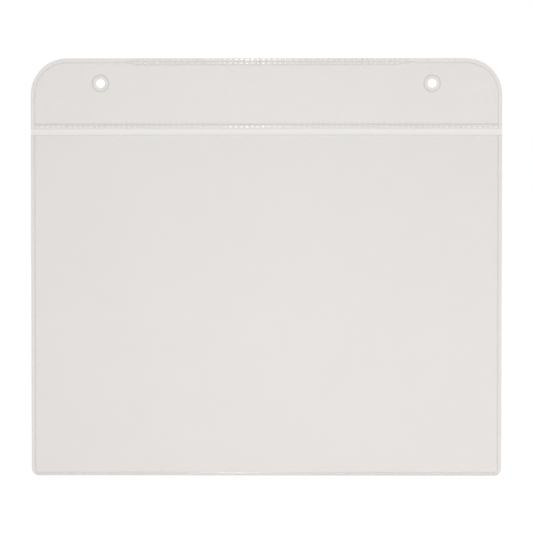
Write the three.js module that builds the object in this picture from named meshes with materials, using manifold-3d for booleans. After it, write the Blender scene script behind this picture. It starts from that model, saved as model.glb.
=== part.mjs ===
// Magnetic document pocket, landscape, for one A4 sheet.
// Sizes are millimetres, X runs across the pocket, Z is up and the front faces -Y.
// Y = 0 is the steel surface that the magnet strips cling to, and the origin is the
// middle of the upper strip's rear face.
//
// A white back sheet carries two clear matt films that are welded to it: the header
// film, closed all round, and the pocket film, open at its top edge. The welds are
// pressed into the films as fine lines and as two runs of imitation stitches.

import * as THREE from 'three';
import { mergeGeometries, mergeVertices } from 'three/addons/utils/BufferGeometryUtils.js';
import Module from 'manifold-3d';

const wasm = await Module();
wasm.setup();

// The sheet that the pocket takes, and the room round it
const PAPER_WIDTH = 297;
const PAPER_HEIGHT = 210;
const PAPER_SIDE_ROOM = 3.9;
const PAPER_TOP_ROOM = 12.4;

// Plies
const BACK_THICKNESS = 0.4;
const HEADER_FILM_THICKNESS = 0.2;
const POCKET_FILM_THICKNESS = 0.2;
const MOUTH_SLACK = 1.2;

// Outline
const HEADER_HEIGHT = 46.6;
const MOUTH_GAP = 4;
const TOP_CORNER_RADIUS = 24;
const BOTTOM_CORNER_RADIUS = 5;

// Welds round the edge: how far in the pressed line lies
const SIDE_WELD = 2.6;
const TOP_WELD = 2.3;
const BOTTOM_WELD = 2;
const LINE_WIDTH = 0.6;
const LINE_DEPTH = 0.08;
const REAR_LINE_DEPTH = 0.06;

// Stitched welds: two rows of pressed pads beside a line
const STITCH_PITCH = 3.6;
const STITCH_LENGTH = 2.3;
const STITCH_HEIGHT = 1.2;
const STITCH_DEPTH = 0.09;
const STITCH_FLOOR_SHARE = 0.6;
const TOP_BAND_LENGTH = 190;
const TOP_BAND_OUTER_ROW = 0.85;
const TOP_BAND_INNER_ROW = 3.2;
const TOP_BAND_BORDER = 4.3;
const LOWER_BAND_LINE = 3;
const LOWER_BAND_ROW_OFFSET = 1.45;

// Hanging holes, each inside a welded ring
const HOLE_DIAMETER = 6;
const HOLE_SPACING = 218;
const HOLE_DROP = 16.5;
const RING_DIAMETER = 10.7;

// Magnet strips on the rear
const MAGNET_HEIGHT = 15;
const MAGNET_THICKNESS = 1.5;
const MAGNET_SIDE_MARGIN = 15;
const MAGNET_BOTTOM_MARGIN = 10;

// Facets
const CORNER_SEGMENTS = 6;
const HOLE_SEGMENTS = 24;
const RING_SEGMENTS = 32;
const SLACK_COLUMNS = 26;
const SLACK_ROWS = 14;
const CUTTER_REACH = 1;

// What follows from the sizes above
const WIDTH = PAPER_WIDTH + 2 * (PAPER_SIDE_ROOM + SIDE_WELD);
const POCKET_HEIGHT = PAPER_HEIGHT + PAPER_TOP_ROOM + BOTTOM_WELD;
const HEIGHT = HEADER_HEIGHT + MOUTH_GAP + POCKET_HEIGHT;
const LOWER_BAND_DROP = HEADER_HEIGHT - LOWER_BAND_LINE;
const LOWER_BAND_TOP_DROP = LOWER_BAND_DROP - LOWER_BAND_ROW_OFFSET - STITCH_HEIGHT / 2;
const RING_BOTTOM_DROP = HOLE_DROP + (RING_DIAMETER + LINE_WIDTH) / 2;
const UPPER_MAGNET_DROP = (RING_BOTTOM_DROP + LOWER_BAND_TOP_DROP) / 2;
const TOP = UPPER_MAGNET_DROP;
const BOTTOM = TOP - HEIGHT;
const HEADER_BOTTOM = TOP - HEADER_HEIGHT;
const POCKET_TOP = BOTTOM + POCKET_HEIGHT;
const MAGNET_LENGTH = WIDTH - 2 * MAGNET_SIDE_MARGIN;
const LOWER_MAGNET_Z = BOTTOM + MAGNET_BOTTOM_MARGIN + MAGNET_HEIGHT / 2;
const BACK_REAR_Y = -MAGNET_THICKNESS;
const BACK_FRONT_Y = BACK_REAR_Y - BACK_THICKNESS;
const FREE_WIDTH = WIDTH - 2 * (SIDE_WELD + LINE_WIDTH);
const FREE_HEIGHT = POCKET_HEIGHT - BOTTOM_WELD - LINE_WIDTH;

const POCKET_WHITE = 0xe9e8e4;
const FILM_OVER_WHITE = 0xe5e1dd;
const MAGNET_BROWN = 0x39332f;

// A closed three.js geometry as a solid that can be cut and joined
function solid(geometry) {
  const bare = geometry.clone();
  bare.deleteAttribute('normal');
  bare.deleteAttribute('uv');
  const welded = mergeVertices(bare);
  return new wasm.Manifold(new wasm.Mesh({
    numProp: 3,
    vertProperties: new Float32Array(welded.attributes.position.array),
    triVerts: new Uint32Array(welded.index.array),
  }));
}

// A solid as a flat-shaded mesh with its own material
function piece(name, body, color, roughness) {
  const { vertProperties, triVerts } = body.getMesh();
  const geometry = new THREE.BufferGeometry();
  geometry.setAttribute('position', new THREE.BufferAttribute(vertProperties, 3));
  geometry.setIndex(new THREE.BufferAttribute(triVerts, 1));
  const material = new THREE.MeshStandardMaterial({ color, roughness, metalness: 0, flatShading: true });
  const mesh = new THREE.Mesh(geometry, material);
  mesh.name = name;
  return mesh;
}

// A flat shape drawn in X and Z, thickened towards the front from rearY
function sheet(shape, rearY, thickness) {
  const geometry = new THREE.ExtrudeGeometry(shape, {
    depth: thickness,
    bevelEnabled: false,
    curveSegments: CORNER_SEGMENTS,
  });
  return geometry.rotateX(Math.PI / 2).translate(0, rearY, 0);
}

// The pocket's outline, moved in from the sides, the top and the bottom
function outline(side, top, bottom) {
  const right = WIDTH / 2 - side;
  const upper = { x: WIDTH / 2 - TOP_CORNER_RADIUS, y: TOP - TOP_CORNER_RADIUS };
  const lower = { x: WIDTH / 2 - BOTTOM_CORNER_RADIUS, y: BOTTOM + BOTTOM_CORNER_RADIUS };
  const upperRadii = [TOP_CORNER_RADIUS - side, TOP_CORNER_RADIUS - top];
  const lowerRadii = [BOTTOM_CORNER_RADIUS - side, BOTTOM_CORNER_RADIUS - bottom];
  const shape = new THREE.Shape();
  shape.moveTo(right, lower.y);
  shape.absellipse(upper.x, upper.y, ...upperRadii, 0, Math.PI / 2, false, 0);
  shape.absellipse(-upper.x, upper.y, ...upperRadii, Math.PI / 2, Math.PI, false, 0);
  shape.absellipse(-lower.x, lower.y, ...lowerRadii, Math.PI, 1.5 * Math.PI, false, 0);
  shape.absellipse(lower.x, lower.y, ...lowerRadii, 1.5 * Math.PI, 2 * Math.PI, false, 0);
  return shape;
}

// A rectangle in X and Z, from its left, right, lower and upper edges
function rectangle(left, right, low, high) {
  const shape = new THREE.Shape();
  shape.moveTo(left, low);
  shape.lineTo(right, low);
  shape.lineTo(right, high);
  shape.lineTo(left, high);
  return shape;
}

// The slot that the edge weld's line presses into a ply, between rearY and frontY
function edgeLine(rearY, frontY) {
  const half = LINE_WIDTH / 2;
  const shape = outline(SIDE_WELD - half, TOP_WELD - half, BOTTOM_WELD - half);
  shape.holes.push(outline(SIDE_WELD + half, TOP_WELD + half, BOTTOM_WELD + half));
  return solid(sheet(shape, rearY, rearY - frontY));
}

// A straight pressed line across the header, drop below the top edge
function crossLine(drop, length, rearY, frontY) {
  const middle = TOP - drop;
  const half = LINE_WIDTH / 2;
  const shape = rectangle(-length / 2, length / 2, middle - half, middle + half);
  return solid(sheet(shape, rearY, rearY - frontY));
}

// The ring pressed round each hanging hole, between rearY and frontY
function holeRings(rearY, frontY) {
  const inner = (RING_DIAMETER - LINE_WIDTH) / 2;
  const outer = (RING_DIAMETER + LINE_WIDTH) / 2;
  const profile = [
    new THREE.Vector2(inner, frontY),
    new THREE.Vector2(outer, frontY),
    new THREE.Vector2(outer, rearY),
    new THREE.Vector2(inner, rearY),
    new THREE.Vector2(inner, frontY),
  ];
  const ring = new THREE.LatheGeometry(profile, RING_SEGMENTS);
  return atHoles(ring);
}

// A copy of a geometry on the centre line of each hanging hole
function atHoles(geometry) {
  const z = TOP - HOLE_DROP;
  const left = solid(geometry.clone().translate(-HOLE_SPACING / 2, 0, z));
  const right = solid(geometry.clone().translate(HOLE_SPACING / 2, 0, z));
  return left.add(right);
}

// The two punched holes, cut through every ply that they meet
function punchedHoles() {
  const depth = BACK_THICKNESS + HEADER_FILM_THICKNESS + 2 * CUTTER_REACH;
  const punch = new THREE.CylinderGeometry(HOLE_DIAMETER / 2, HOLE_DIAMETER / 2, depth, HOLE_SEGMENTS);
  const middleY = BACK_FRONT_Y + (BACK_THICKNESS - HEADER_FILM_THICKNESS) / 2;
  return atHoles(punch.translate(0, middleY, 0));
}

// Rows of pressed stitch pads: each row is centred and runs across the pocket
function stitches(rows, faceY) {
  const floor = STITCH_FLOOR_SHARE * Math.SQRT1_2;
  const mouth = (2 - STITCH_FLOOR_SHARE) * Math.SQRT1_2;
  const pad = new THREE.CylinderGeometry(floor, mouth, 2 * STITCH_DEPTH, 4);
  pad.rotateY(Math.PI / 4).scale(STITCH_LENGTH, 1, STITCH_HEIGHT);
  const pads = [];
  for (const row of rows) {
    const count = Math.floor(row.length / STITCH_PITCH);
    for (let i = 0; i < count; i += 1) {
      const x = (i - (count - 1) / 2) * STITCH_PITCH;
      pads.push(pad.clone().translate(x, faceY, TOP - row.drop));
    }
  }
  return solid(mergeGeometries(pads));
}

function backSheet() {
  const rearSlotY = BACK_REAR_Y + CUTTER_REACH;
  const slotFloorY = BACK_REAR_Y - REAR_LINE_DEPTH;
  const body = solid(sheet(outline(0, 0, 0), BACK_REAR_Y, BACK_THICKNESS))
    .subtract(punchedHoles())
    .subtract(edgeLine(rearSlotY, slotFloorY))
    .subtract(crossLine(LOWER_BAND_DROP, WIDTH - 2 * SIDE_WELD, rearSlotY, slotFloorY));
  return piece('back_sheet', body, POCKET_WHITE, 0.45);
}

function headerFilm() {
  const frontY = BACK_FRONT_Y - HEADER_FILM_THICKNESS;
  const floorY = frontY + LINE_DEPTH;
  const openY = frontY - CUTTER_REACH;
  const seamLength = WIDTH - 2 * SIDE_WELD;
  const above = rectangle(-WIDTH, WIDTH, HEADER_BOTTOM, TOP + HEADER_HEIGHT);
  const rows = [
    { drop: TOP_BAND_OUTER_ROW, length: TOP_BAND_LENGTH },
    { drop: TOP_BAND_INNER_ROW, length: TOP_BAND_LENGTH },
    { drop: LOWER_BAND_DROP - LOWER_BAND_ROW_OFFSET, length: seamLength },
    { drop: LOWER_BAND_DROP + LOWER_BAND_ROW_OFFSET, length: seamLength },
  ];
  const body = solid(sheet(outline(0, 0, 0), BACK_FRONT_Y, HEADER_FILM_THICKNESS))
    .intersect(solid(sheet(above, BACK_FRONT_Y + CUTTER_REACH, 2 * CUTTER_REACH + HEADER_FILM_THICKNESS)))
    .subtract(punchedHoles())
    .subtract(holeRings(floorY, openY))
    .subtract(edgeLine(floorY, openY))
    .subtract(crossLine(TOP_BAND_BORDER, TOP_BAND_LENGTH, floorY, openY))
    .subtract(crossLine(LOWER_BAND_DROP, seamLength, floorY, openY))
    .subtract(stitches(rows, frontY));
  return piece('header_film', body, FILM_OVER_WHITE, 0.4);
}

// How far the empty pocket film stands off the back sheet, 0 at its three welded edges
function slack(x, z) {
  const across = (2 * x) / FREE_WIDTH;
  const up = (z - POCKET_TOP + FREE_HEIGHT) / FREE_HEIGHT;
  if (Math.abs(across) >= 1 || up <= 0) {
    return 0;
  }
  return MOUTH_SLACK * (1 - across * across) * up ** 1.5;
}

// The pocket film before it is trimmed: its first and last columns and its lowest row
// are the weld, and the rest is spread over the free film and lifted by the slack
function slackFilm() {
  const film = new THREE.BoxGeometry(1, POCKET_FILM_THICKNESS, 1, SLACK_COLUMNS, 1, SLACK_ROWS);
  const position = film.attributes.position;
  const reach = WIDTH / 2 + CUTTER_REACH;
  for (let i = 0; i < position.count; i += 1) {
    const column = Math.round((position.getX(i) + 0.5) * SLACK_COLUMNS);
    const row = Math.round((position.getZ(i) + 0.5) * SLACK_ROWS);
    const free = (column - 1) / (SLACK_COLUMNS - 2);
    const x = column % SLACK_COLUMNS === 0 ? Math.sign(free - 0.5) * reach : (free - 0.5) * FREE_WIDTH;
    const drop = ((SLACK_ROWS - row) / (SLACK_ROWS - 1)) * FREE_HEIGHT;
    const z = row === 0 ? BOTTOM - CUTTER_REACH : POCKET_TOP - drop;
    const y = BACK_FRONT_Y - POCKET_FILM_THICKNESS / 2 + position.getY(i) - slack(x, z);
    position.setXYZ(i, x, y, z);
  }
  return film;
}

function pocketFilm() {
  const frontY = BACK_FRONT_Y - POCKET_FILM_THICKNESS;
  const floorY = frontY + LINE_DEPTH;
  const openY = frontY - CUTTER_REACH;
  const depth = POCKET_FILM_THICKNESS + MOUTH_SLACK + 2 * CUTTER_REACH;
  const body = solid(slackFilm())
    .intersect(solid(sheet(outline(0, 0, 0), BACK_FRONT_Y + CUTTER_REACH, depth)))
    .subtract(edgeLine(floorY, openY));
  return piece('pocket_film', body, FILM_OVER_WHITE, 0.4);
}

function magnetStrip(name, z) {
  const strip = new THREE.BoxGeometry(MAGNET_LENGTH, MAGNET_THICKNESS, MAGNET_HEIGHT);
  const mesh = piece(name, solid(strip), MAGNET_BROWN, 0.7);
  mesh.position.set(0, -MAGNET_THICKNESS / 2, z);
  return mesh;
}

const pocket = new THREE.Group();
pocket.add(
  backSheet(),
  headerFilm(),
  pocketFilm(),
  magnetStrip('magnet_strip_upper', 0),
  magnetStrip('magnet_strip_lower', LOWER_MAGNET_Z),
);

export default pocket;
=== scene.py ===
"""Magnetic document pocket: the finish of its plies, welds and magnet strips.

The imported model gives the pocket's sizes and places. Lengths are written in
millimetres and turned to metres where a mesh is made. The front faces -Y.
"""

import math
from dataclasses import dataclass

import bpy
from bpy.props import FloatProperty, FloatVectorProperty, PointerProperty
from bpy.types import Operator, Panel, PropertyGroup
from mathutils import Matrix, Vector
from mathutils.geometry import delaunay_2d_cdt


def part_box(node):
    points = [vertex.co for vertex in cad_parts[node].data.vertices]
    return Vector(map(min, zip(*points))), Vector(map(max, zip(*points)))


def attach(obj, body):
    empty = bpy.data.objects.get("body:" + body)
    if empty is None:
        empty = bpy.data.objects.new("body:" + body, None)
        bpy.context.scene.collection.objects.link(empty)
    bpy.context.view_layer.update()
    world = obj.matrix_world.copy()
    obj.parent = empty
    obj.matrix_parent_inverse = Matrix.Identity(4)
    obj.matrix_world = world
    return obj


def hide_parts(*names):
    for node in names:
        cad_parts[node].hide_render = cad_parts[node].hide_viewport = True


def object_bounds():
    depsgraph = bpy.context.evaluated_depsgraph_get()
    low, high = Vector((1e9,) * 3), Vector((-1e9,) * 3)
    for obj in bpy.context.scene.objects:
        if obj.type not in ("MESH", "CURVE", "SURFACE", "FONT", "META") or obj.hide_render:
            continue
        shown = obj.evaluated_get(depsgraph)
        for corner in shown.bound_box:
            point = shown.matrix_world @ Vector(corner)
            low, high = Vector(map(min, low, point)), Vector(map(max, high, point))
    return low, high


bl_info = {
    "name": "Magnetic Document Pocket",
    "version": (1, 0, 0),
    "blender": (4, 5, 0),
    "location": "3D View > Sidebar > Pocket",
    "description": "Dresses a welded document pocket with magnet strips on its rear",
    "category": "Add Mesh",
}

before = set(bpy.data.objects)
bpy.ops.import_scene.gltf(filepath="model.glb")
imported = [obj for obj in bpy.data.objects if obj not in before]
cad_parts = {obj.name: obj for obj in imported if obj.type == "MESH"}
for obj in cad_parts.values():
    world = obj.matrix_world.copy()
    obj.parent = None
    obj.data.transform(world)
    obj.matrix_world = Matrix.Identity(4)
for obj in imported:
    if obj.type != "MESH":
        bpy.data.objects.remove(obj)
CAD_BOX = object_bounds()
MM = 0.001

BODY = "root"

# Points on a quarter of a corner, and round a hole or a ring.
CORNER_POINTS = 24
RING_POINTS = 48
# Steps along the meshes' lines and between the points of the free film, in millimetres.
HEADER_STEP = 1.8
POCKET_STEP = 2.4
GRID_STEP = 5.0
# Margins of the free film's points: below, above and beside them.
HEADER_GRID_MARGINS = (7, 7, 8)
POCKET_GRID_MARGINS = (6, 3, 6)
# How far in from the outline the mesh's level lines end, and how far in its first line runs.
LINE_END_INSET = 0.1
INNER_LINE_INSET = 0.15
# Lines of the mesh beside a weld's line and beside a cut edge, in line widths.
LINE_PROFILE = (-2.15, -1.75, -1.35, -0.95, -0.65, -0.35, 0.0, 0.35, 0.65, 0.95, 1.35, 1.75, 2.15)
HEADER_CUT_LINE = 0.8
POCKET_CUT_LINES = (0.4, 0.8, 1.2)
# Lines of the mesh in the rim below the bottom weld, in shares of its inset.
RIM_LINES = (0.09, 0.3, 0.51)
# Points of the mesh across a stitch, in half lengths and half heights.
STITCH_COLUMNS = (-1, -0.85, -0.6, 0, 0.6, 0.85, 1)
STITCH_RANKS = (-1, -0.8, -0.5, 0, 0.5, 0.8, 1)
# The chords of a hole's outline lie less than this inside its circle.
HOLE_TOLERANCE = 0.02
# Width of the soft edge that the magnet strips get.
MAGNET_EDGE = 0.15
# The films' rears stand this far off the sheet, so that no two faces share a place.
REAR_CLEARANCE = 0.02
# How far to either side of a point the surface's slope is read.
SLOPE_REACH = 0.02
# The mouth's slack grows with this power of the height.
SLACK_POWER = 1.5

# A pressed line in line widths: the groove's half width, and its bead's place and half width.
GROOVE_REACH = 0.75
BEAD_PLACE = 1.35
BEAD_REACH = 0.8
# Shares of a groove's and of a stitch's section in which its wall goes down.
GROOVE_WALL = 0.7
STITCH_WALL = 0.75
# From the stitched band's end, the edge's line moves to its place in the corners between these
# two distances, in line widths.
CORNER_SHIFT = (-1, 6)
# How far a row is pressed at its ends and in the row above the seam's line, against 1 elsewhere.
ROW_END_STRENGTH = 0.15
UPPER_SEAM_ROW_STRENGTH = 0.08

# How dark a line paints the film, 1 at most, and how far that reaches, in line widths. Along a weld
# line this is partly the deeper tone of fused vinyl and partly painted shade of the pressed groove;
# along a cut edge it is a painted shadow; on the rim it is the fused vinyl's tone.
HEADER_EDGE_MELT_AND_SHADE = (0.55, 0.6)
HEADER_CUT_SHADOW = (0.15, 0.6)
SEAM_MELT_AND_SHADE = (1.0, 1.1)
BORDER_MELT_AND_SHADE = (0.65, 0.6)
RING_MELT_AND_SHADE = (1.0, 0.9)
POCKET_EDGE_MELT_AND_SHADE = (0.85, 0.7)
POCKET_CUT_SHADOW = (0.6, 0.6)
RIM_MELT = 0.2
# How far a line's darkened vinyl is polished too, and the rim, and how wide the polished groove is.
LINE_POLISH = 0.3
RIM_POLISH = 0.6
GROOVE_POLISH_REACH = 0.8
# The rim's middle lies at this share of the bottom weld's inset, and it is as wide to each side.
RIM_SHARE = 0.4

# Clear film: its milkiness in the header and the pocket, where a line darkens it fully and where it
# is polished, and its roughness before and after polishing.
HEADER_HAZE = 0.15
POCKET_HAZE = 0.2
WELDED_DENSITY = 0.9
POLISHED_DENSITY = 0.7
MATT_ROUGHNESS = 0.42
POLISHED_ROUGHNESS = 0.1
VINYL_IOR = 1.53
RUBBER_IOR = 1.5
WHITE = (1.0, 1.0, 1.0, 1.0)
FLOOR_PAINT = (0.9, 0.9, 0.9, 1.0)
FLOOR_LIFT = (0.5, 0.5, 0.5, 1.0)

# Places of the lights from the pocket's middle, their widths and heights, and the floor's size,
# in metres.
KEY_PLACE = Vector((0.3, -0.7, -0.2))
KEY_SIZE = (1.6, 0.16)
STRIP_PLACE = Vector((-0.038, -1.2, -0.01))
STRIP_SIZE = (0.06, 0.62)
FLOOR_SIZE = 30
STRIP_LEAN = math.radians(-2.9)
# The point that the camera looks at: its X and Y, and its rise over the pocket's middle. The
# sensor's width is in millimetres.
AIM_X = 0.0002
AIM_Y = -0.002
AIM_RISE = 0.0006
SENSOR_WIDTH = 36


def linear_colour(text):
    """An sRGB hex colour as linear red, green, blue."""
    channels = [int(text[i : i + 2], 16) / 255 for i in (1, 3, 5)]
    return tuple(c / 12.92 if c <= 0.04045 else ((c + 0.055) / 1.055) ** 2.4 for c in channels)


def node_span(node, axis):
    """The lowest and highest coordinate of a CAD node along one axis, in millimetres."""
    low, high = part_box(node)
    return low[axis] / MM, high[axis] / MM


class PocketSizes(PropertyGroup):
    """Sizes of the pocket that the frame's boxes don't give, in millimetres."""

    top_radius: FloatProperty(name="Top Corner", description="Radius of the upper corners", default=24)
    bottom_radius: FloatProperty(
        name="Bottom Corner", description="Radius of the lower corners", default=5
    )
    hole_diameter: FloatProperty(name="Hole", description="Diameter of a hanging hole", default=6)
    hole_spacing: FloatProperty(
        name="Hole Spacing", description="Between the hanging holes", default=218
    )
    hole_drop: FloatProperty(
        name="Hole Drop", description="From the top edge to a hole's centre", default=16.5
    )
    ring_diameter: FloatProperty(
        name="Ring", description="Diameter of the ring welded round a hole", default=10.7
    )
    side_weld: FloatProperty(
        name="Side Weld", description="From a side edge to the weld's line", default=2.6
    )
    top_weld: FloatProperty(
        name="Top Weld", description="From the top edge to the stitched line", default=2.3
    )
    corner_weld: FloatProperty(
        name="Corner Weld", description="From the top edge to the line beyond the stitches", default=2.9
    )
    bottom_weld: FloatProperty(
        name="Bottom Weld", description="From the bottom edge to the line", default=2
    )
    line_width: FloatProperty(
        name="Line Width", description="Width of a pressed weld line", default=0.6
    )
    line_depth: FloatProperty(
        name="Line Depth", description="Depth of a pressed weld line", default=0.055
    )
    bead_height: FloatProperty(
        name="Bead", description="Rise of the vinyl squeezed out by a line", default=0.018
    )
    stitch_pitch: FloatProperty(
        name="Stitch Pitch", description="From one stitch to the next", default=3.6
    )
    stitch_length: FloatProperty(
        name="Stitch Length", description="Length of a pressed stitch", default=2.4
    )
    stitch_height: FloatProperty(
        name="Stitch Height", description="Height of a pressed stitch", default=1.25
    )
    stitch_depth: FloatProperty(
        name="Stitch Depth", description="Depth of a pressed stitch", default=0.032
    )
    stitch_fade: FloatProperty(
        name="Stitch Fade", description="Length of a row's fading ends", default=50
    )
    band_length: FloatProperty(
        name="Top Band", description="Length of the top edge's stitches", default=190
    )
    outer_row: FloatProperty(
        name="Outer Row", description="From the top edge to the first row", default=0.85
    )
    inner_row: FloatProperty(
        name="Inner Row", description="From the top edge to the second row", default=3.2
    )
    band_border: FloatProperty(
        name="Band Border", description="From the top edge to its border", default=4.3
    )
    band_blend: FloatProperty(
        name="Band Blend", description="Length of the border's curved ends", default=12
    )
    seam_line: FloatProperty(
        name="Seam Line", description="From the header film's cut edge", default=3.15
    )
    seam_row_offset: FloatProperty(
        name="Seam Rows", description="From the seam's line to a row", default=1.45
    )
    mouth_slack: FloatProperty(
        name="Mouth Slack", description="Stand-off in the mouth's middle", default=1.2
    )


class PocketColours(PropertyGroup):
    """Colours of the pocket's materials."""

    white_sheet: FloatVectorProperty(
        name="White Sheet",
        description="Soft white vinyl of the back sheet",
        subtype="COLOR",
        default=linear_colour("#EEEDEA"),
    )
    clear_film: FloatVectorProperty(
        name="Clear Film",
        description="Milky body of the clear vinyl film",
        subtype="COLOR",
        default=linear_colour("#F9F3F2"),
    )
    # Painted shade: this colour stands partly for the deeper tone of fused vinyl and partly for the
    # shade in the pressed grooves, and it also paints the shadow along the films' cut edges.
    weld_line_and_groove_shade: FloatVectorProperty(
        name="Weld Line",
        description="Vinyl that the weld has melted together",
        subtype="COLOR",
        default=linear_colour("#DDDAD7"),
    )
    magnet: FloatVectorProperty(
        name="Magnet",
        description="Ferrite-filled rubber of the magnet strips",
        subtype="COLOR",
        default=linear_colour("#3A3430"),
    )


class StudioSettings(PropertyGroup):
    """Camera and lights of the studio."""

    distance: FloatProperty(name="Distance", description="Camera to pocket", default=1.4, unit="LENGTH")
    azimuth: FloatProperty(
        name="Azimuth",
        description="Camera round the pocket",
        default=math.radians(0.6),
        unit="ROTATION",
    )
    elevation: FloatProperty(
        name="Elevation",
        description="Camera above the pocket",
        default=math.radians(1.35),
        unit="ROTATION",
    )
    focal_length: FloatProperty(name="Focal Length", description="Lens in millimetres", default=143.6)
    floor_drop: FloatProperty(
        name="Floor Drop", description="Pocket's lower edge to the floor", default=0.2, unit="LENGTH"
    )
    ambient: FloatProperty(name="Ambient", description="World light on the pocket", default=0.61)
    key_power: FloatProperty(name="Key", description="Wide low light in watts", default=1.5)
    strip_power: FloatProperty(name="Strip", description="Tall narrow light in front", default=2.4)


@dataclass(frozen=True)
class Plan:
    """The pocket's outline and faces, in millimetres."""

    half: float
    top: float
    bottom: float
    header_bottom: float
    pocket_top: float
    sheet_front: float
    film: float
    sizes: PocketSizes

    @property
    def holes(self):
        """The centres of the hanging holes."""
        z = self.top - self.sizes.hole_drop
        reach = self.sizes.hole_spacing / 2
        return [(-reach, z), (reach, z)]


def plan_of(scene):
    """The plan that the frame and the scene's sizes give."""
    bottom, top = node_span("back_sheet", 2)
    front, _ = node_span("header_film", 1)
    sheet_front, _ = node_span("back_sheet", 1)
    return Plan(
        half=node_span("back_sheet", 0)[1],
        top=top,
        bottom=bottom,
        header_bottom=node_span("header_film", 2)[0],
        pocket_top=node_span("pocket_film", 2)[1],
        sheet_front=sheet_front,
        film=sheet_front - front,
        sizes=scene.pocket_sizes,
    )


def bump(distance, reach):
    """A smooth hump: 1 at distance 0, and 0 from reach on."""
    share = abs(distance) / reach
    return 0.0 if share >= 1 else 0.5 + 0.5 * math.cos(math.pi * share)


def smooth_step(value, low, high):
    """0 up to low, 1 from high on, and smooth between them."""
    share = min(max((value - low) / (high - low), 0.0), 1.0)
    return share * share * (3 - 2 * share)


def corner_distances(radius, side, end, side_line, end_line):
    """How far a point lies in from a rounded corner, and the weld line's inset there, which goes
    from the side's to that of the top or bottom."""
    dx = radius - side
    dz = radius - end
    reach = math.hypot(dx, dz)
    share = dz * dz / (reach * reach) if reach else 0.0
    return radius - reach, side_line + (end_line - side_line) * share


def edge_distances(plan, x, z):
    """How far a point lies in from the outline, and the inset that the edge weld's line has there."""
    s = plan.sizes
    side = plan.half - abs(x)
    over = plan.top - z
    under = z - plan.bottom
    shift_start, shift_end = (s.band_length / 2 + share * s.line_width for share in CORNER_SHIFT)
    top_line = s.top_weld + (s.corner_weld - s.top_weld) * smooth_step(abs(x), shift_start, shift_end)
    if side < s.top_radius and over < s.top_radius:
        return corner_distances(s.top_radius, side, over, s.side_weld, top_line)
    if side < s.bottom_radius and under < s.bottom_radius:
        return corner_distances(s.bottom_radius, side, under, s.side_weld, s.bottom_weld)
    nearest = min(side, over, under)
    if nearest == side:
        return side, s.side_weld
    return (over, top_line) if nearest == over else (under, s.bottom_weld)


def border_inset(plan, x):
    """How far the stitched band's lower border lies from the top edge: it runs into the corner's
    line at both ends."""
    s = plan.sizes
    blend = smooth_step(s.band_length / 2 - abs(x), 0.0, s.band_blend)
    return s.corner_weld + (s.band_border - s.corner_weld) * blend


def line_press(plan, distance):
    """The press of a weld line, with the low bead of vinyl that it squeezes out beside it."""
    s = plan.sizes
    across = distance / (GROOVE_REACH * s.line_width)
    groove = s.line_depth * smooth_step(1 - across * across, 0.0, GROOVE_WALL)
    bead = s.bead_height * bump(abs(distance) - BEAD_PLACE * s.line_width, BEAD_REACH * s.line_width)
    return groove - bead


def line_melt_and_shade(plan, distance, melt):
    """How dark a line paints the film at a distance from its middle: partly fused vinyl and partly
    painted shade along a weld, painted shadow along a cut edge.
    """
    strength, reach = melt
    return strength * bump(distance, reach * plan.sizes.line_width)


def stitch_mark(plan, x, z, drop, length, strength):
    """How far a stitch of one row is pressed at a point, 0 to 1, drop below the top edge."""
    s = plan.sizes
    count = math.floor(length / s.stitch_pitch)
    step = round(x / s.stitch_pitch + (count - 1) / 2)
    if not 0 <= step < count:
        return 0.0
    u = (x - (step - (count - 1) / 2) * s.stitch_pitch) / (s.stitch_length / 2)
    v = (z - plan.top + drop) / (s.stitch_height / 2)
    from_end = smooth_step(length / 2 - abs(x), 0.0, s.stitch_fade)
    faded = ROW_END_STRENGTH + (1 - ROW_END_STRENGTH) * from_end
    return strength * faded * smooth_step(1 - u**4 - v**4, 0.0, STITCH_WALL)


def stitch_rows(plan):
    """Each row of stitches as its drop below the top edge, its length and its strength."""
    s = plan.sizes
    seam = plan.top - plan.header_bottom - s.seam_line
    seam_length = 2 * (plan.half - s.side_weld)
    return [
        (s.outer_row, s.band_length, 1.0),
        (s.inner_row, s.band_length, 1.0),
        (seam - s.seam_row_offset, seam_length, UPPER_SEAM_ROW_STRENGTH),
        (seam + s.seam_row_offset, seam_length, 1.0),
    ]


def header_press(plan, x, z):
    """How deep the header film is pressed in at a point, how far its lines darken it with fused vinyl,
    painted shade and painted shadow, and how far it is polished.
    """
    s = plan.sizes
    depth_in, line_in = edge_distances(plan, x, z)
    up = z - plan.header_bottom
    presses = [line_press(plan, depth_in - line_in)]
    # The lines darken the film: the edge, seam, border and rings partly with fused vinyl and partly with
    # painted shade of their grooves, the cut edge with a painted shadow.
    melt_and_shade_marks = [line_melt_and_shade(plan, depth_in - line_in, HEADER_EDGE_MELT_AND_SHADE), line_melt_and_shade(plan, up, HEADER_CUT_SHADOW)]
    if abs(x) < plan.half - s.side_weld:
        presses.append(line_press(plan, up - s.seam_line))
        melt_and_shade_marks.append(line_melt_and_shade(plan, up - s.seam_line, SEAM_MELT_AND_SHADE))
    if abs(x) < s.band_length / 2:
        from_border = plan.top - z - border_inset(plan, x)
        presses.append(line_press(plan, from_border))
        melt_and_shade_marks.append(line_melt_and_shade(plan, from_border, BORDER_MELT_AND_SHADE))
    for hole_x, hole_z in plan.holes:
        from_ring = math.hypot(x - hole_x, z - hole_z) - s.ring_diameter / 2
        presses.append(line_press(plan, from_ring))
        melt_and_shade_marks.append(line_melt_and_shade(plan, from_ring, RING_MELT_AND_SHADE))
    mark = max(stitch_mark(plan, x, z, *row) for row in stitch_rows(plan))
    deepest = max(presses)
    pressed = deepest > 0 or mark > 0
    press = max(deepest, 0.0) + s.stitch_depth * mark if pressed else min(presses)
    return press, max(melt_and_shade_marks), max(mark, LINE_POLISH * max(melt_and_shade_marks))


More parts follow.
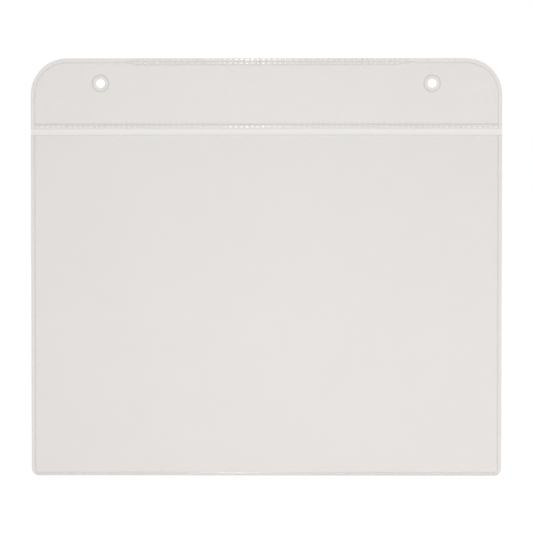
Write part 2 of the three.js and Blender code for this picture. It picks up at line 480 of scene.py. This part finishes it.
def pocket_press(plan, x, z):
    """How deep the pocket film is pressed in at a point, how far its lines darken it with fused vinyl,
    painted shade and painted shadow, and how far it is polished.
    """
    s = plan.sizes
    depth_in, line_in = edge_distances(plan, x, z)
    side = plan.half - abs(x)
    if plan.top - z < side:
        depth_in, line_in = side, s.side_weld
    press = line_press(plan, depth_in - line_in)
    # The edge line darkens the film partly with fused vinyl and partly with painted shade of its groove;
    # the mouth's cut edge gets a painted shadow.
    line = line_melt_and_shade(plan, depth_in - line_in, POCKET_EDGE_MELT_AND_SHADE)
    cut = line_melt_and_shade(plan, plan.pocket_top - z, POCKET_CUT_SHADOW)
    up = z - plan.bottom
    rim = bump(up - RIM_SHARE * s.bottom_weld, RIM_SHARE * s.bottom_weld)
    groove = bump(up - s.bottom_weld, GROOVE_POLISH_REACH * s.line_width)
    polished = max(LINE_POLISH * line, RIM_POLISH * rim, groove)
    return press, max(line, cut, RIM_MELT * rim), polished


def slack(plan, x, z):
    """How far the empty pocket film stands off the back sheet."""
    s = plan.sizes
    free_half = plan.half - s.side_weld - s.line_width
    free_bottom = plan.bottom + s.bottom_weld + s.line_width
    across = x / free_half
    up = (z - free_bottom) / (plan.pocket_top - free_bottom)
    if abs(across) >= 1 or up <= 0:
        return 0.0
    return s.mouth_slack * (1 - across * across) * up**SLACK_POWER


def arc(centre, reach_x, reach_z, start, end):
    """Points along an arc, both ends included, angles in quarter turns. It is a circle's where the
    two reaches are alike."""
    points = []
    for i in range(CORNER_POINTS + 1):
        angle = math.pi / 2 * (start + (end - start) * i / CORNER_POINTS)
        points.append((centre[0] + reach_x * math.cos(angle), centre[1] + reach_z * math.sin(angle)))
    return points


def spaced(path, step):
    """A path with its straight stretches cut into steps of about that length."""
    points = [path[0]]
    for (ax, az), (bx, bz) in zip(path, path[1:]):
        count = max(1, round(math.hypot(bx - ax, bz - az) / step))
        for i in range(1, count + 1):
            points.append((ax + (bx - ax) * i / count, az + (bz - az) * i / count))
    return points


def header_path(plan, inset):
    """The header's sides and rounded top at an inset, from its lower left to its lower right."""
    radius = plan.sizes.top_radius
    reach = plan.half - radius
    level = plan.top - radius
    bend = radius - inset
    return [
        (-plan.half + inset, plan.header_bottom),
        *arc((-reach, level), bend, bend, 2, 1),
        *arc((reach, level), bend, bend, 1, 0),
        (plan.half - inset, plan.header_bottom),
    ]


def pocket_outline(plan):
    """The pocket's sides and bottom, from its upper right to its upper left."""
    radius = plan.sizes.bottom_radius
    reach = plan.half - radius
    level = plan.bottom + radius
    return [
        (plan.half, plan.pocket_top),
        *arc((reach, level), radius, radius, 4, 3),
        *arc((-reach, level), radius, radius, 3, 2),
        (-plan.half, plan.pocket_top),
    ]


class Sketch:
    """Points and lines in X and Z that a film's mesh is drawn from."""

    def __init__(self):
        self.points = []
        self.lines = []

    def add_path(self, path, closed=False):
        """Adds a path whose steps stay edges of the mesh."""
        start = len(self.points)
        self.points += path
        count = len(path)
        self.lines += [(start + i, start + i + 1) for i in range(count - 1)]
        if closed:
            self.lines.append((start + count - 1, start))

    def add_points(self, points):
        """Adds loose points."""
        self.points += points

    def triangles(self, keep=None):
        """The mesh's triangles, with keep only those whose middle passes it, and their points."""
        flat = [Vector(point) for point in self.points]
        corners, _, faces, *_ = delaunay_2d_cdt(flat, self.lines, [], 0, 1e-4)
        kept = []
        for face in faces:
            middle = sum((corners[i] for i in face), Vector((0, 0))) / 3
            if keep is None or keep(middle.x, middle.y):
                kept.append(face)
        used = sorted({i for face in kept for i in face})
        places = {corner: place for place, corner in enumerate(used)}
        return [tuple(corners[i]) for i in used], [tuple(places[i] for i in face) for face in kept]


def slope_normal(surface, x, z):
    """The front's outward normal at a point, from how its Y changes nearby."""
    reach = SLOPE_REACH
    rise_x = (surface(x + reach, z)[0] - surface(x - reach, z)[0]) / (2 * reach)
    rise_z = (surface(x, z + reach)[0] - surface(x, z - reach)[0]) / (2 * reach)
    return Vector((rise_x, -1.0, rise_z)).normalized()


def film_mesh(name, corners, faces, surface):
    """A closed film from flat triangles. surface gives, at a point, the front's Y, the rear's Y,
    how far fused vinyl, painted shade and painted shadow darken the film there, and how far it is
    polished."""
    points = [surface(x, z) for x, z in corners]
    front = [(x * MM, point[0] * MM, z * MM) for (x, z), point in zip(corners, points)]
    rear = [(x * MM, point[1] * MM, z * MM) for (x, z), point in zip(corners, points)]
    normals = [slope_normal(surface, x, z) for x, z in corners]
    count = len(corners)
    sides = {(a, b) for face in faces for a, b in zip(face, face[1:] + face[:1])}
    rim = sorted((a, b) for a, b in sides if (b, a) not in sides)
    polygons = [*faces, *(tuple(count + i for i in reversed(face)) for face in faces)]
    shading = [normals[i] for face in faces for i in face]
    shading += [Vector((0, 1, 0))] * (3 * len(faces))
    for a, b in rim:
        polygons.append((b, a, a + count, b + count))
        along = Vector(corners[b]) - Vector(corners[a])
        shading += [Vector((along.y, 0, -along.x)).normalized()] * 4
    mesh = bpy.data.meshes.new(name)
    mesh.from_pydata(front + rear, [], polygons)
    # The first attribute carries the lines' darkening: the fused vinyl's tone, painted shade in the
    # grooves and painted shadow at the cut edges.
    for title, place in (("melted_and_shaded", 2), ("polished", 3)):
        attribute = mesh.attributes.new(title, "FLOAT", "POINT")
        attribute.data.foreach_set("value", [point[place] for point in points] * 2)
    mesh.update()
    mesh.shade_smooth()
    mesh.normals_split_custom_set(shading)
    piece = bpy.data.objects.new(name, mesh)
    bpy.context.collection.objects.link(piece)
    return piece


def across_line(plan, z, inset, step):
    """A level line from side to side, which ends at an inset."""
    return spaced([(-plan.half + inset, z), (plan.half - inset, z)], step)


def header_sketch(plan):
    """The header film's points: its outline, the welds' profiles, the stitches and the rings."""
    s = plan.sizes
    sketch = Sketch()
    outline = header_path(plan, 0)
    sketch.add_path(spaced(outline + outline[:1], HEADER_STEP)[:-1], closed=True)
    insets = [INNER_LINE_INSET] + [s.side_weld + share * s.line_width for share in LINE_PROFILE]
    for inset in insets:
        sketch.add_path(spaced(header_path(plan, inset)[1:-1], HEADER_STEP))
        for side in (-1, 1):
            x = side * (plan.half - inset)
            upright = [(x, plan.header_bottom), (x, plan.top - s.top_radius)]
            sketch.add_path(spaced(upright, HEADER_STEP))
    band = spaced([(-s.band_length / 2, 0), (s.band_length / 2, 0)], HEADER_STEP)
    for share in LINE_PROFILE:
        z = plan.header_bottom + s.seam_line + share * s.line_width
        sketch.add_path(across_line(plan, z, LINE_END_INSET, HEADER_STEP))
        level = plan.top + share * s.line_width
        sketch.add_path([(x, level - border_inset(plan, x)) for x, _ in band])
    for drop, length, _ in stitch_rows(plan):
        count = math.floor(length / s.stitch_pitch)
        for i in range(count):
            x = (i - (count - 1) / 2) * s.stitch_pitch
            sketch.add_points(stitch_points(plan, x, plan.top - drop))
    z = plan.header_bottom + HEADER_CUT_LINE * s.line_width
    sketch.add_path(across_line(plan, z, LINE_END_INSET, HEADER_STEP))
    sketch.add_points(free_grid(plan, plan.header_bottom, plan.top, HEADER_GRID_MARGINS))
    for centre in plan.holes:
        sketch.add_points([centre])
        sketch.add_path(circle(centre, s.hole_diameter / 2), closed=True)
        for share in LINE_PROFILE:
            sketch.add_path(circle(centre, s.ring_diameter / 2 + share * s.line_width), closed=True)
    return sketch


def circle(centre, radius):
    """Points round a circle."""
    turn = 2 * math.pi / RING_POINTS
    return [
        (centre[0] + radius * math.cos(i * turn), centre[1] + radius * math.sin(i * turn))
        for i in range(RING_POINTS)
    ]


def stitch_points(plan, x, z):
    """A small grid of points over one stitch."""
    half_length = plan.sizes.stitch_length / 2
    half_height = plan.sizes.stitch_height / 2
    return [(x + u * half_length, z + v * half_height) for v in STITCH_RANKS for u in STITCH_COLUMNS]


def build_header_film(plan):
    """The header film: its mesh, with the welds pressed in."""

    def keep(x, z):
        radius = plan.sizes.hole_diameter / 2 - HOLE_TOLERANCE
        return all(math.hypot(x - hole_x, z - hole_z) > radius for hole_x, hole_z in plan.holes)

    def surface(x, z):
        press, melted_and_shaded, polished = header_press(plan, x, z)
        front = plan.sheet_front - plan.film + press
        return front, plan.sheet_front - REAR_CLEARANCE, melted_and_shaded, polished

    corners, faces = header_sketch(plan).triangles(keep)
    return film_mesh("header_film_welded", corners, faces, surface)


def pocket_sketch(plan):
    """The pocket film's points: its outline, the edge weld's profile and the free film's grid."""
    s = plan.sizes
    sketch = Sketch()
    outline = pocket_outline(plan)
    sketch.add_path(spaced(outline + outline[:1], POCKET_STEP)[:-1], closed=True)
    for share in LINE_PROFILE:
        inset = s.side_weld + share * s.line_width
        low = s.bottom_weld + share * s.line_width
        sketch.add_path(across_line(plan, plan.bottom + low, s.bottom_radius, POCKET_STEP))
        for side in (-1, 1):
            x = side * (plan.half - inset)
            upright = [(x, plan.pocket_top), (x, plan.bottom + s.bottom_radius)]
            sketch.add_path(spaced(upright, POCKET_STEP))
            centre = (side * (plan.half - s.bottom_radius), plan.bottom + s.bottom_radius)
            reach_x = s.bottom_radius - inset
            sketch.add_path(arc(centre, reach_x, s.bottom_radius - low, 3, 3 + side))
    for share in POCKET_CUT_LINES:
        z = plan.pocket_top - share * s.line_width
        sketch.add_path(across_line(plan, z, LINE_END_INSET, POCKET_STEP))
    for share in RIM_LINES:
        z = plan.bottom + share * s.bottom_weld
        sketch.add_path(across_line(plan, z, s.bottom_radius, POCKET_STEP))
    sketch.add_points(free_grid(plan, plan.bottom, plan.pocket_top, POCKET_GRID_MARGINS))
    return sketch


def free_grid(plan, bottom, top, margins):
    """Evenly spaced points over the part of a film that lies free."""
    below, above, beside = margins
    high = top - above
    columns = math.floor((plan.half - beside) / GRID_STEP)
    rows = math.floor((high - bottom - below) / GRID_STEP)
    across = range(-columns, columns + 1)
    return [(i * GRID_STEP, high - j * GRID_STEP) for i in across for j in range(rows + 1)]


def build_pocket_film(plan):
    """The pocket film: its mesh, welded at three edges and slack at its mouth."""

    def surface(x, z):
        press, melted_and_shaded, polished = pocket_press(plan, x, z)
        lift = slack(plan, x, z)
        rear = plan.sheet_front - REAR_CLEARANCE - lift
        return plan.sheet_front - plan.film - lift + press, rear, melted_and_shaded, polished

    corners, faces = pocket_sketch(plan).triangles()
    return film_mesh("pocket_film_welded", corners, faces, surface)


def add_node(tree, kind, settings=None, links=None, **attributes):
    """Adds a shader node, sets its attributes and sockets, and links what feeds it."""
    node = tree.nodes.new(kind)
    for name, value in attributes.items():
        setattr(node, name, value)
    for socket, value in (settings or {}).items():
        node.inputs[socket].default_value = value
    for socket, source in (links or {}).items():
        tree.links.new(source, node.inputs[socket])
    return node


def new_material(name):
    """An empty node material and its tree."""
    material = bpy.data.materials.new(name)
    material.use_nodes = True
    material.node_tree.nodes.clear()
    return material, material.node_tree


def opaque(colour):
    """A colour with full alpha."""
    return (*colour, 1.0)


def calendered_white_vinyl(colours):
    """Soft white PVC sheet, calendered between matt rollers: an even milky white with a leathery
    grain that breaks up the gloss. The grain is drawn as coarse as it needs to show."""
    grain_size = 0.9 * MM
    cloud_size = 60 * MM
    darker = [0.97 * channel for channel in colours.white_sheet]
    material, tree = new_material("calendered_white_vinyl")
    place = add_node(tree, "ShaderNodeTexCoord")
    grain = add_node(
        tree,
        "ShaderNodeTexNoise",
        {"Scale": 1 / grain_size, "Detail": 3.0, "Roughness": 0.6},
        {"Vector": place.outputs["Object"]},
    )
    cloud = add_node(
        tree,
        "ShaderNodeTexNoise",
        {"Scale": 1 / cloud_size, "Detail": 2.0},
        {"Vector": place.outputs["Object"]},
    )
    tint = add_node(
        tree,
        "ShaderNodeMix",
        {"A": opaque(colours.white_sheet), "B": opaque(darker)},
        {"Factor": cloud.outputs["Fac"]},
        data_type="RGBA",
    )
    relief = add_node(
        tree,
        "ShaderNodeBump",
        {"Strength": 0.12, "Distance": 0.05 * MM},
        {"Height": grain.outputs["Fac"]},
    )
    shader = add_node(
        tree,
        "ShaderNodeBsdfPrincipled",
        {"Roughness": 0.45, "IOR": VINYL_IOR},
        {"Base Color": tint.outputs["Result"], "Normal": relief.outputs["Normal"]},
    )
    add_node(tree, "ShaderNodeOutputMaterial", links={"Surface": shader.outputs["BSDF"]})
    return material


def matt_clear_vinyl(colours, name, haze):
    """Clear PVC film, calendered matt: milky and see-through, with a fine grain, glossier where it is
    polished, and darker and denser where the weld has fused it into the sheet behind. The darkness
    along the lines is partly the fused vinyl's tone and partly painted shade in the grooves, with a
    painted shadow along the cut edges. The grain is drawn as coarse as it needs to show."""
    grain_size = 0.7 * MM
    material, tree = new_material(name)
    place = add_node(tree, "ShaderNodeTexCoord")
    melted_and_shaded = add_node(tree, "ShaderNodeAttribute", attribute_name="melted_and_shaded")
    polished = add_node(tree, "ShaderNodeAttribute", attribute_name="polished")
    grain = add_node(
        tree,
        "ShaderNodeTexNoise",
        {"Scale": 1 / grain_size, "Detail": 3.0, "Roughness": 0.6},
        {"Vector": place.outputs["Object"]},
    )
    # Painted shade: along the marked lines the film's colour goes towards the weld line colour.
    tint = add_node(
        tree,
        "ShaderNodeMix",
        {"A": opaque(colours.clear_film), "B": opaque(colours.weld_line_and_groove_shade)},
        {"Factor": melted_and_shaded.outputs["Fac"]},
        data_type="RGBA",
    )
    shine = add_node(
        tree,
        "ShaderNodeMath",
        {1: POLISHED_DENSITY},
        {0: polished.outputs["Fac"]},
        operation="MULTIPLY",
    )
    dense = add_node(
        tree,
        "ShaderNodeMath",
        links={0: melted_and_shaded.outputs["Fac"], 1: shine.outputs["Value"]},
        operation="MAXIMUM",
    )
    density = add_node(
        tree,
        "ShaderNodeMapRange",
        {"To Min": haze, "To Max": WELDED_DENSITY},
        {"Value": dense.outputs["Value"]},
    )
    roughness = add_node(
        tree,
        "ShaderNodeMapRange",
        {"To Min": MATT_ROUGHNESS, "To Max": POLISHED_ROUGHNESS},
        {"Value": polished.outputs["Fac"]},
    )
    relief = add_node(
        tree,
        "ShaderNodeBump",
        {"Strength": 0.1, "Distance": 0.04 * MM},
        {"Height": grain.outputs["Fac"]},
    )
    shader = add_node(
        tree,
        "ShaderNodeBsdfPrincipled",
        {"IOR": VINYL_IOR},
        {
            "Base Color": tint.outputs["Result"],
            "Alpha": density.outputs["Result"],
            "Roughness": roughness.outputs["Result"],
            "Normal": relief.outputs["Normal"],
        },
    )
    add_node(tree, "ShaderNodeOutputMaterial", links={"Surface": shader.outputs["BSDF"]})
    return material


def extruded_magnet_rubber(colours):
    """Ferrite-filled rubber, extruded as a strip: nearly black brown, dull, with faint streaks
    along its length."""
    streak_size = (40 * MM, 1 * MM, 0.8 * MM)
    lighter = [1.5 * channel for channel in colours.magnet]
    material, tree = new_material("extruded_magnet_rubber")
    place = add_node(tree, "ShaderNodeTexCoord")
    stretched = add_node(
        tree,
        "ShaderNodeMapping",
        {"Scale": [1 / size for size in streak_size]},
        {"Vector": place.outputs["Object"]},
    )
    streaks = add_node(
        tree,
        "ShaderNodeTexNoise",
        {"Scale": 1.0, "Detail": 4.0},
        {"Vector": stretched.outputs["Vector"]},
    )
    tint = add_node(
        tree,
        "ShaderNodeMix",
        {"A": opaque(colours.magnet), "B": opaque(lighter)},
        {"Factor": streaks.outputs["Fac"]},
        data_type="RGBA",
    )
    relief = add_node(
        tree,
        "ShaderNodeBump",
        {"Strength": 0.3, "Distance": 0.05 * MM},
        {"Height": streaks.outputs["Fac"]},
    )
    shader = add_node(
        tree,
        "ShaderNodeBsdfPrincipled",
        {"Roughness": 0.55, "IOR": RUBBER_IOR},
        {"Base Color": tint.outputs["Result"], "Normal": relief.outputs["Normal"]},
    )
    add_node(tree, "ShaderNodeOutputMaterial", links={"Surface": shader.outputs["BSDF"]})
    return material


def dress(piece, material):
    """Gives a piece one material."""
    piece.data.materials.clear()
    piece.data.materials.append(material)


def soften_edges(piece, width):
    """Rounds a CAD node's corners for the light, with a bevel modifier."""
    bevel = piece.modifiers.new("soft_edges", "BEVEL")
    bevel.width = width * MM
    bevel.segments = 2
    bevel.limit_method = "ANGLE"
    bevel.harden_normals = True


def seen_directly(tree):
    """A value that is 1 for the camera, in reflections and through clear film, and else 0."""
    path = add_node(tree, "ShaderNodeLightPath")
    seen = path.outputs["Is Camera Ray"]
    for ray in ("Is Glossy Ray", "Is Transmission Ray"):
        either = add_node(
            tree, "ShaderNodeMath", links={0: seen, 1: path.outputs[ray]}, operation="MAXIMUM"
        )
        seen = either.outputs["Value"]
    return seen


def white_floor():
    """Smooth white studio floor: it takes the pocket's shadow, and is lifted towards plain white
    where the camera, a reflection or a clear film sees it."""
    material, tree = new_material("white_studio_floor")
    lift = add_node(
        tree, "ShaderNodeEmission", {"Color": FLOOR_LIFT}, {"Strength": seen_directly(tree)}
    )
    paint = add_node(tree, "ShaderNodeBsdfDiffuse", {"Color": FLOOR_PAINT})
    both = add_node(
        tree, "ShaderNodeAddShader", links={0: paint.outputs["BSDF"], 1: lift.outputs["Emission"]}
    )
    add_node(tree, "ShaderNodeOutputMaterial", links={"Surface": both.outputs["Shader"]})
    return material


def light_world(scene, studio):
    """White round the pocket for the camera and reflections, plain soft light for the rest."""
    world = bpy.data.worlds.new("white_studio")
    scene.world = world
    world.use_nodes = True
    tree = world.node_tree
    tree.nodes.clear()
    strength = add_node(
        tree,
        "ShaderNodeMapRange",
        {"To Min": studio.ambient, "To Max": 1.0},
        {"Value": seen_directly(tree)},
    )
    background = add_node(
        tree, "ShaderNodeBackground", {"Color": WHITE}, {"Strength": strength.outputs["Result"]}
    )
    add_node(tree, "ShaderNodeOutputWorld", links={"Surface": background.outputs["Background"]})


def soft_light(name, place, aim, size, power):
    """A rectangular soft light that faces a point. Its size is its width and height."""
    data = bpy.data.lights.new(name, "AREA")
    data.shape = "RECTANGLE"
    data.size, data.size_y = size
    data.energy = power
    lamp = bpy.data.objects.new(name, data)
    lamp.location = place
    lamp.rotation_euler = (aim - Vector(place)).to_track_quat("-Z", "Y").to_euler()
    bpy.context.collection.objects.link(lamp)
    return lamp


class POCKET_OT_stage(Operator):
    """Makes the floor, the white world, the soft lights and the camera"""

    bl_idname = "docpocket.stage"
    bl_label = "Studio"

    def execute(self, context):
        scene = context.scene
        studio = scene.pocket_studio
        scene.view_settings.view_transform = "Standard"
        low, high = (Vector(corner) for corner in CAD_BOX)
        middle = (low + high) / 2
        light_world(scene, studio)
        floor_place = (0, 0, low.z - studio.floor_drop)
        bpy.ops.mesh.primitive_grid_add(
            x_subdivisions=2, y_subdivisions=2, size=FLOOR_SIZE, location=floor_place
        )
        floor = context.object
        floor.name = "studio_floor"
        dress(floor, white_floor())
        soft_light("key", middle + KEY_PLACE, middle, KEY_SIZE, studio.key_power)
        strip = soft_light("strip", middle + STRIP_PLACE, middle, STRIP_SIZE, studio.strip_power)
        strip.rotation_euler.rotate_axis("Z", STRIP_LEAN)
        data = bpy.data.cameras.new("camera")
        data.lens = studio.focal_length
        data.sensor_width = SENSOR_WIDTH
        camera = bpy.data.objects.new("camera", data)
        context.collection.objects.link(camera)
        turn = Matrix.Rotation(studio.azimuth, 3, "Z") @ Matrix.Rotation(-studio.elevation, 3, "X")
        aim = Vector((AIM_X, AIM_Y, middle.z + AIM_RISE))
        camera.location = aim + turn @ Vector((0, -studio.distance, 0))
        camera.rotation_euler = (aim - camera.location).to_track_quat("-Z", "Y").to_euler()
        scene.camera = camera
        return {"FINISHED"}


class POCKET_OT_back_sheet(Operator):
    """Finishes the back sheet as calendered white vinyl"""

    bl_idname = "docpocket.back_sheet"
    bl_label = "Back Sheet"

    def execute(self, context):
        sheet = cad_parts["back_sheet"]
        dress(sheet, calendered_white_vinyl(context.scene.pocket_colours))
        return {"FINISHED"}


class POCKET_OT_header_film(Operator):
    """Makes the header film with its welds, rings and stitches"""

    bl_idname = "docpocket.header_film"
    bl_label = "Header Film"

    def execute(self, context):
        film = build_header_film(plan_of(context.scene))
        colours = context.scene.pocket_colours
        dress(film, matt_clear_vinyl(colours, "matt_clear_vinyl_header", HEADER_HAZE))
        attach(film, BODY)
        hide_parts("header_film")
        return {"FINISHED"}


class POCKET_OT_pocket_film(Operator):
    """Makes the pocket film, welded at three edges and open at its mouth"""

    bl_idname = "docpocket.pocket_film"
    bl_label = "Pocket Film"

    def execute(self, context):
        film = build_pocket_film(plan_of(context.scene))
        colours = context.scene.pocket_colours
        dress(film, matt_clear_vinyl(colours, "matt_clear_vinyl_pocket", POCKET_HAZE))
        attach(film, BODY)
        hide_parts("pocket_film")
        return {"FINISHED"}


class POCKET_OT_magnet_strips(Operator):
    """Finishes the two magnet strips as extruded magnet rubber"""

    bl_idname = "docpocket.magnet_strips"
    bl_label = "Magnet Strips"

    def execute(self, context):
        material = extruded_magnet_rubber(context.scene.pocket_colours)
        for name in ("magnet_strip_upper", "magnet_strip_lower"):
            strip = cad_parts[name]
            dress(strip, material)
            soften_edges(strip, MAGNET_EDGE)
        return {"FINISHED"}


STEPS = (
    POCKET_OT_stage,
    POCKET_OT_back_sheet,
    POCKET_OT_header_film,
    POCKET_OT_pocket_film,
    POCKET_OT_magnet_strips,
)


class POCKET_PT_pocket(Panel):
    """Lists the pocket's sizes, colours and steps"""

    bl_label = "Document Pocket"
    bl_space_type = "VIEW_3D"
    bl_region_type = "UI"
    bl_category = "Pocket"

    def draw(self, context):
        layout = self.layout
        scene = context.scene
        for group in (scene.pocket_sizes, scene.pocket_colours, scene.pocket_studio):
            for name in group.__annotations__:
                layout.prop(group, name)
        for step in STEPS:
            layout.operator(step.bl_idname)


CLASSES = (PocketSizes, PocketColours, StudioSettings, *STEPS, POCKET_PT_pocket)


def register():
    """Registers the classes and puts the settings on the scene."""
    for each in CLASSES:
        bpy.utils.register_class(each)
    bpy.types.Scene.pocket_sizes = PointerProperty(type=PocketSizes)
    bpy.types.Scene.pocket_colours = PointerProperty(type=PocketColours)
    bpy.types.Scene.pocket_studio = PointerProperty(type=StudioSettings)


def unregister():
    """Takes the settings and the classes away again."""
    del bpy.types.Scene.pocket_studio
    del bpy.types.Scene.pocket_colours
    del bpy.types.Scene.pocket_sizes
    for each in reversed(CLASSES):
        bpy.utils.unregister_class(each)


def main():
    """Makes every piece in order."""
    register()
    bpy.ops.docpocket.stage()
    bpy.ops.docpocket.back_sheet()
    bpy.ops.docpocket.header_film()
    bpy.ops.docpocket.pocket_film()
    bpy.ops.docpocket.magnet_strips()


if __name__ == "__main__":
    main()
